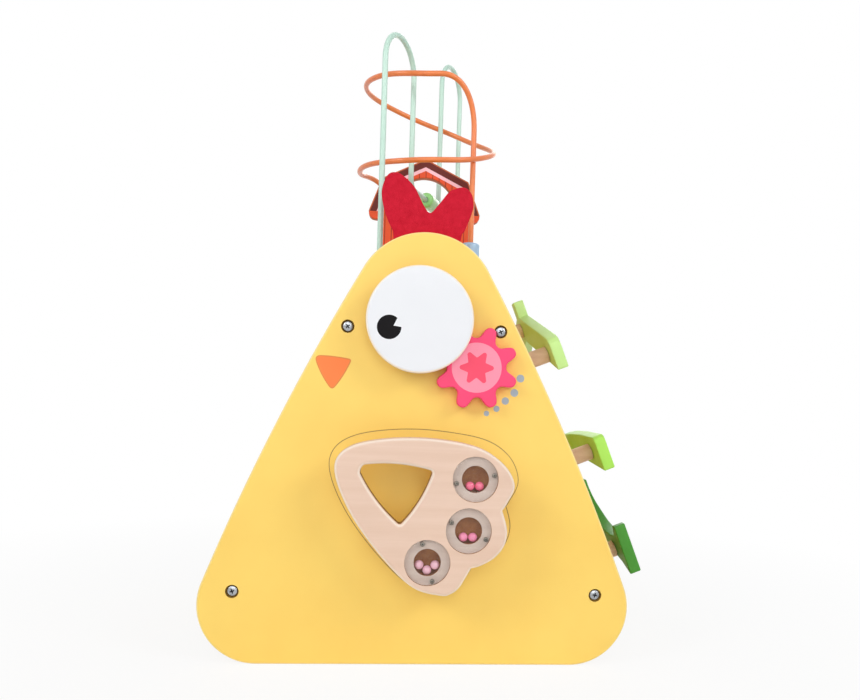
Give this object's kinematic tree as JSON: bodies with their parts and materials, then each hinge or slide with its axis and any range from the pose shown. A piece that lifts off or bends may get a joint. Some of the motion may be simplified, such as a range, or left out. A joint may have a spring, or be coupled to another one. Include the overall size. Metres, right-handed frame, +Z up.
{
  "type": "activity box",
  "caption": "Wooden toddler activity box shaped like a hen, with an eye that drives a gear, a swinging rattle wing, a tree of boards on dowels, a barn and a bead maze of bent wires.",
  "frame": {"origin": "middle of the front panel's lower edge, on the floor", "axes": "+X to the right seen from the front, +Y from the front panel towards the back panel, +Z up"},
  "size_m": [0.3768, 0.293, 0.578],
  "materials": {
    "yellow_paint": "satin paint",
    "screw_steel": "zinc plated",
    "light_green_paint": "satin paint",
    "lime_paint": "satin paint",
    "dark_green_paint": "satin paint",
    "bare_beech": "sanded, clear lacquer",
    "pink_paint": "satin paint",
    "white_paint": "gloss paint with printed pupil",
    "printed_wood": "printed face, bare edges",
    "clear_plastic": "clear",
    "hot_pink_bead": "gloss",
    "pink_bead": "gloss",
    "pale_pink_bead": "gloss",
    "red_felt": "felt",
    "barn_paint": "printed paint",
    "mint_wire": "satin powder coat",
    "orange_wire": "satin powder coat",
    "rose_bead": "satin paint",
    "yellow_bead": "satin paint",
    "blue_bead": "satin paint",
    "green_bead": "satin paint"
  },
  "bodies": {
    "box": {"front_panel": "yellow_paint", "back_panel": "yellow_paint", "left_side_board": "yellow_paint", "right_side_board": "yellow_paint", "base_board": "yellow_paint", "platform": "yellow_paint", "front_screw_lower_left": "screw_steel", "front_screw_lower_right": "screw_steel", "front_screw_upper_left": "screw_steel", "front_screw_upper_right": "screw_steel", "back_screw_lower_left": "screw_steel", "back_screw_lower_right": "screw_steel", "back_screw_upper_left": "screw_steel", "back_screw_upper_right": "screw_steel", "tree_top": "light_green_paint", "tree_middle": "lime_paint", "tree_bottom": "dark_green_paint", "tree_top_dowel_1": "bare_beech", "tree_top_dowel_2": "bare_beech", "tree_top_dowel_3": "bare_beech", "tree_middle_dowel_1": "bare_beech", "tree_middle_dowel_2": "bare_beech", "tree_bottom_dowel_1": "bare_beech", "tree_bottom_dowel_2": "bare_beech", "wing_hub": "bare_beech", "comb": "red_felt", "barn": "barn_paint", "mint_wire": "mint_wire", "orange_wire": "orange_wire"},
    "wing": {"wing_board": "printed_wood", "wing_shaft": "bare_beech", "wing_keeper": "bare_beech", "top_window_screw_1": "screw_steel", "top_window_screw_2": "screw_steel", "middle_window_screw_1": "screw_steel", "middle_window_screw_2": "screw_steel", "bottom_window_screw_1": "screw_steel", "bottom_window_screw_2": "screw_steel", "top_window": "clear_plastic", "middle_window": "clear_plastic", "bottom_window": "clear_plastic"},
    "top_rattle": {"top_rattle_bead_1": "hot_pink_bead", "top_rattle_bead_2": "hot_pink_bead"},
    "middle_rattle": {"middle_rattle_bead_1": "pink_bead", "middle_rattle_bead_2": "pink_bead"},
    "bottom_rattle": {"bottom_rattle_bead_1": "pale_pink_bead", "bottom_rattle_bead_2": "pale_pink_bead", "bottom_rattle_bead_3": "pale_pink_bead"},
    "eye": {"eye_disc": "white_paint", "eye_gear": "pink_paint", "eye_gear_shaft": "bare_beech", "eye_gear_keeper": "bare_beech"},
    "gear": {"side_gear": "pink_paint", "side_gear_shaft": "bare_beech", "side_gear_keeper": "bare_beech"},
    "bead_1": {"bead_pink": "rose_bead"},
    "bead_2": {"bead_yellow": "yellow_bead"},
    "bead_3": {"bead_blue": "blue_bead"},
    "dip_bead": {"bead_green": "green_bead"}
  },
  "joints": [
    {"name": "wing_swing", "type": "hinge", "parent": "box", "child": "wing", "pos_m": [0.0086, -0.015, 0.139], "axis": [0, 1, 0], "continuous": true},
    {"name": "top_rattle_roll", "type": "hinge", "parent": "wing", "child": "top_rattle", "pos_m": [0.04303, -0.0321, 0.16021], "axis": [0, 1, 0], "continuous": true},
    {"name": "middle_rattle_roll", "type": "hinge", "parent": "wing", "child": "middle_rattle", "pos_m": [0.03878, -0.0321, 0.11898], "axis": [0, 1, 0], "continuous": true},
    {"name": "bottom_rattle_roll", "type": "hinge", "parent": "wing", "child": "bottom_rattle", "pos_m": [0.0066, -0.0321, 0.09321], "axis": [0, 1, 0], "continuous": true},
    {"name": "eye_spin", "type": "hinge", "parent": "box", "child": "eye", "pos_m": [-0.0046, -0.015, 0.287], "axis": [0, 1, 0], "continuous": true},
    {"name": "gear_spin", "type": "hinge", "parent": "box", "child": "gear", "pos_m": [0.04319, -0.012, 0.24967], "axis": [0, 1, 0], "continuous": true},
    {"name": "bead_1_slide", "type": "slide", "parent": "box", "child": "bead_1", "axis": [0, 0, 1], "range_m": [0, 0.022]},
    {"name": "bead_2_slide", "type": "slide", "parent": "bead_1", "child": "bead_2", "axis": [0, 0, 1], "range_m": [0, 0.022]},
    {"name": "bead_3_slide", "type": "slide", "parent": "bead_2", "child": "bead_3", "axis": [0, 0, 1], "range_m": [0, 0.022]},
    {"name": "dip_bead_slide", "type": "slide", "parent": "box", "child": "dip_bead", "axis": [0.326, 0.9454, 0], "range_m": [-0.0362, 0.0068]}
  ],
  "couplings": [
    {"joint": "gear_spin", "follows": "eye_spin", "ratio": -1}
  ]
}
